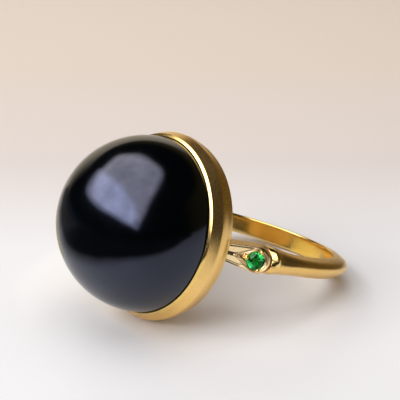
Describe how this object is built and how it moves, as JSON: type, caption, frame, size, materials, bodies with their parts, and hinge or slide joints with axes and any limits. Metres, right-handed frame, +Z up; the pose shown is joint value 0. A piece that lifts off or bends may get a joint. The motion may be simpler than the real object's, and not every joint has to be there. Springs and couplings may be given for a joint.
{
  "type": "finger ring with bead",
  "caption": "Finger ring that rests on its side: a large polished black jade bead in a shallow gold cup on a slim half-round shank, with small green stones on the shoulders.",
  "frame": {"origin": "middle of the object's length and width, on the surface it rests on", "axes": "+Z up from the surface it rests on, +Y from the bead to the back of the shank, +X to the shoulder that is on the right when the bead's back is looked at from the shank"},
  "size_m": [0.0198, 0.0272, 0.0154],
  "materials": {
    "satin_gold": "satin",
    "black_jade": "polished",
    "green_stone": "polished"
  },
  "bodies": {
    "root": {"gold_setting": "satin_gold", "jade_bead": "black_jade", "green_stone_right": "green_stone", "green_stone_left": "green_stone"}
  },
  "joints": []
}
